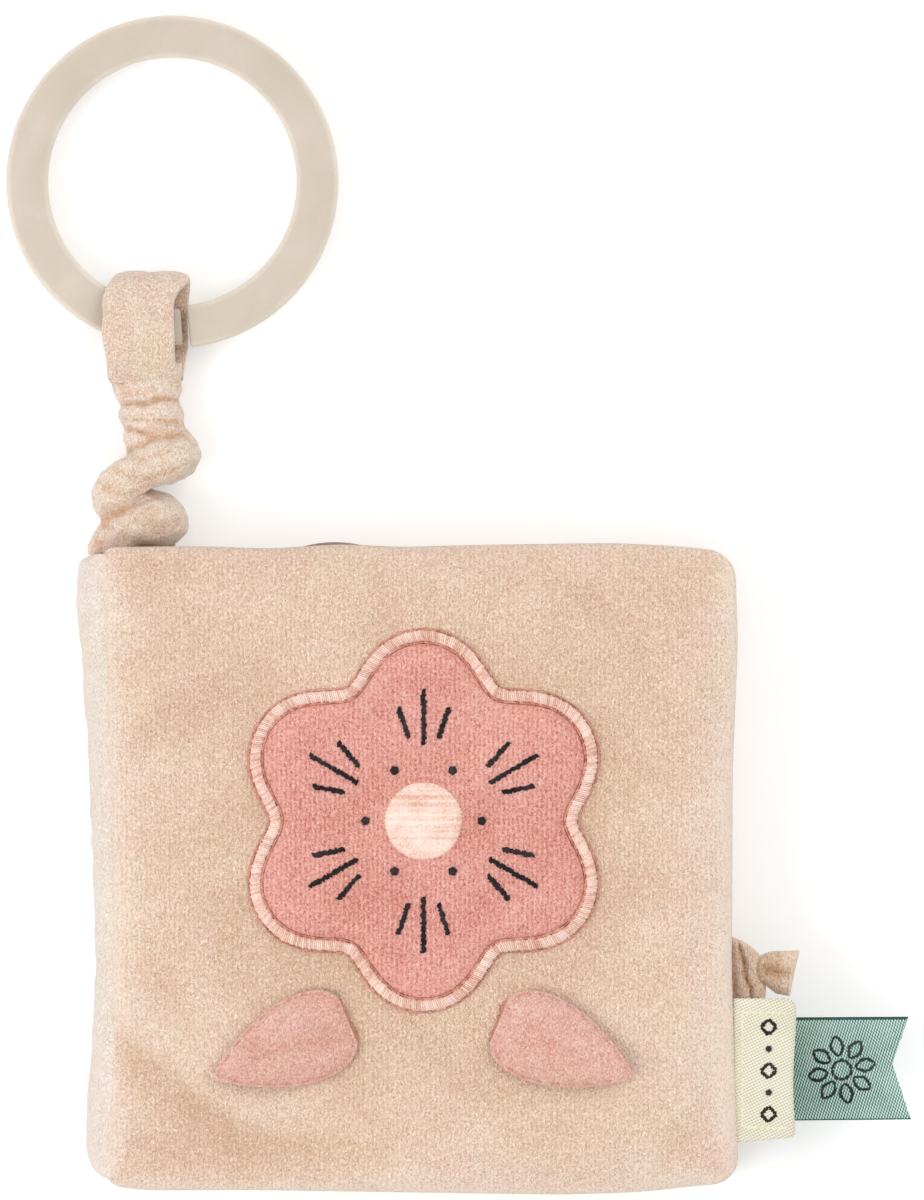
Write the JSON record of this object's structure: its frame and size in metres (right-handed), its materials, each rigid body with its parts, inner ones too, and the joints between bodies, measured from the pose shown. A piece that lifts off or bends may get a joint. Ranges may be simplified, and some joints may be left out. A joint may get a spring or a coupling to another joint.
{
  "type": "sensory book",
  "caption": "Square padded cloth book: a page between soft covers, a gathered strap holding a plastic ring, woven labels, a knotted tail and a sewn-on flower with loose leaf flaps.",
  "frame": {"origin": "middle of the closed book's flat back face, half way between the spine's outermost point and the fore edge", "axes": "+X from the spine to the fore edge, +Y along the spine towards the strap and ring, +Z out of the front cover"},
  "size_m": [0.1748, 0.2276, 0.0306],
  "materials": {
    "plush": "short-pile velour",
    "cotton": "plain cotton",
    "spine": "short-pile velour",
    "wadding": "polyester wadding",
    "coral": "ribbed velour",
    "satin": "satin stitch",
    "cream_tape": "woven twill tape",
    "green_tape": "woven twill tape",
    "mauve": "short-pile velour",
    "tan": "short-pile velour",
    "ring_plastic": "matte",
    "mirror_film": "metallised mirror film",
    "foil": "crinkle film",
    "soft_plastic": "soft",
    "elastic": "braided elastic"
  },
  "bodies": {
    "back_cover": {"back_cover_outer": "plush", "back_cover_inner": "cotton", "back_cover_wadding": "wadding", "spine_back": "spine", "strap_anchor": "plush"},
    "page": {"page_front_panel": "cotton", "page_back_panel": "cotton", "page_wadding": "wadding", "crinkle_foil": "foil", "mirror": "mirror_film", "mirror_window_binding": "satin", "page_tab": "mauve", "spine_page": "spine"},
    "front_cover": {"front_cover_outer": "plush", "front_cover_inner": "cotton", "front_cover_wadding": "wadding", "spine_front": "spine", "squeaker_bulb": "soft_plastic", "squeaker_reed": "soft_plastic", "flower_patch": "coral", "flower_border": "satin", "flower_eye": "satin"},
    "left_flap": {"flap_left": "coral"},
    "right_flap": {"flap_right": "coral"},
    "cream_label": {"cream_label": "cream_tape"},
    "green_label": {"green_label": "green_tape"},
    "tail": {"tail_pleats": "tan", "tail_end": "tan"},
    "strap_bulge": {"sleeve_lower": "plush"},
    "strap_sleeve": {"sleeve_upper": "plush", "strap_elastic": "elastic"},
    "strap_loop": {"strap_loop": "plush"},
    "ring": {"ring": "ring_plastic"}
  },
  "joints": [
    {"name": "page_turn", "type": "hinge", "parent": "back_cover", "child": "page", "pos_m": [-0.0644, 0, 0.0132], "axis": [0, 1, 0], "range_deg": [-180, 0]},
    {"name": "cover_open", "type": "hinge", "parent": "page", "child": "front_cover", "pos_m": [-0.0644, 0, 0.0132], "axis": [0, -1, 0], "range_deg": [0, 180]},
    {"name": "left_flap_lift", "type": "hinge", "parent": "front_cover", "child": "left_flap", "pos_m": [-0.0113, -0.029, 0.0277], "axis": [-0.3827, 0.9239, 0], "range_deg": [0, 100]},
    {"name": "right_flap_lift", "type": "hinge", "parent": "front_cover", "child": "right_flap", "pos_m": [0.0177, -0.029, 0.0277], "axis": [-0.3827, -0.9239, 0], "range_deg": [0, 100]},
    {"name": "cream_label_bend", "type": "hinge", "parent": "front_cover", "child": "cream_label", "pos_m": [0.0644, -0.0387, 0.0221], "axis": [0, -1, 0], "range_deg": [-45, 90], "stiffness_Nm_per_rad": 0.002},
    {"name": "green_label_bend", "type": "hinge", "parent": "page", "child": "green_label", "pos_m": [0.0633, -0.0387, 0.0132], "axis": [0, -1, 0], "range_deg": [-75, 28], "stiffness_Nm_per_rad": 0.008},
    {"name": "tail_bend", "type": "hinge", "parent": "page", "child": "tail", "pos_m": [0.0624, -0.0188, 0.0132], "axis": [0, -1, 0], "range_deg": [-50, 50], "stiffness_Nm_per_rad": 0.004},
    {"name": "strap_swing", "type": "hinge", "parent": "back_cover", "child": "strap_bulge", "pos_m": [-0.052, 0.0735, 0.0059], "axis": [0, 0, 1], "range_deg": [-30, 30]},
    {"name": "strap_lift", "type": "hinge", "parent": "strap_bulge", "child": "strap_sleeve", "pos_m": [-0.0506, 0.08425, 0.0059], "axis": [1, 0, 0], "range_deg": [0, 80]},
    {"name": "strap_stretch", "type": "slide", "parent": "strap_sleeve", "child": "strap_loop", "axis": [0, 1, 0], "range_m": [0, 0.02], "stiffness_N_per_m": 60, "deforming": ["strap_elastic"]},
    {"name": "ring_turn", "type": "hinge", "parent": "strap_loop", "child": "ring", "pos_m": [-0.0455, 0.133, 0.0059], "axis": [0, 0, 1], "continuous": true}
  ]
}
